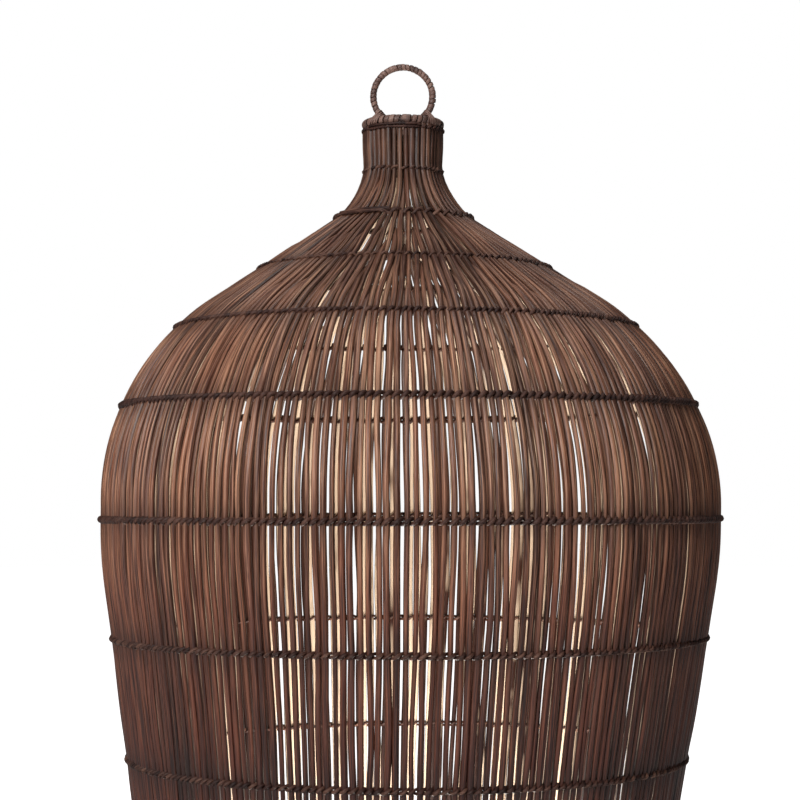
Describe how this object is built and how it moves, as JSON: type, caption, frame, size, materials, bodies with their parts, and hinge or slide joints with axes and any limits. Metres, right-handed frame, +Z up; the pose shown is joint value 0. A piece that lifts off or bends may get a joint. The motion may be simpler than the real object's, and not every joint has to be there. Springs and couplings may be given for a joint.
{
  "type": "wicker pendant shade",
  "caption": "Bell-shaped hanging shade of dark willow rods held by twined rows, with a narrow bound neck, a lashed hanging ring that tilts, and a nailed foot hoop.",
  "frame": {"origin": "middle of the foot, on the surface that the foot hoops can rest on", "axes": "+Z up to the hanging ring, -Y towards the front, where the ring is lashed to the rim, +X to the right seen from the front"},
  "size_m": [0.5034, 0.5034, 0.6978],
  "materials": {
    "rod": "stained willow rods, satin",
    "twine": "dark twisted cane strands",
    "cane": "round cane, hidden under its wrap",
    "strip": "stained flat cane strip, satin",
    "lashing": "stained flat cane strip, satin",
    "hoop": "stained split cane",
    "tack": "dull steel"
  },
  "bodies": {
    "shade": {"rods_from_rim": "rod", "rods_added_below_neck": "rod", "rods_added_on_shoulder": "rod", "first_rods_added_on_dome": "rod", "second_rods_added_on_dome": "rod", "row_a_outer_strand": "twine", "row_a_inner_strand": "twine", "row_b_outer_strand": "twine", "row_b_inner_strand": "twine", "row_c_outer_strand": "twine", "row_c_inner_strand": "twine", "row_d_outer_strand": "twine", "row_d_inner_strand": "twine", "row_e_outer_strand": "twine", "row_e_inner_strand": "twine", "row_f_outer_strand": "twine", "row_f_inner_strand": "twine", "row_g_outer_strand": "twine", "row_g_inner_strand": "twine", "row_h_outer_strand": "twine", "row_h_inner_strand": "twine", "row_i_outer_strand": "twine", "row_i_inner_strand": "twine", "row_j_outer_strand": "twine", "row_j_inner_strand": "twine", "rim_hoop": "cane", "rim_binding": "strip", "right_lashing": "lashing", "left_lashing": "lashing", "foot_outer_hoop": "hoop", "foot_inner_hoop": "hoop", "foot_tacks": "tack"},
    "ring": {"ring_core": "cane", "ring_wrap": "strip"}
  },
  "joints": [
    {"name": "ring_tilt", "type": "hinge", "parent": "shade", "child": "ring", "pos_m": [0, -0.0166, 0.65488], "axis": [1, 0, 0], "range_deg": [-10, 10]}
  ]
}
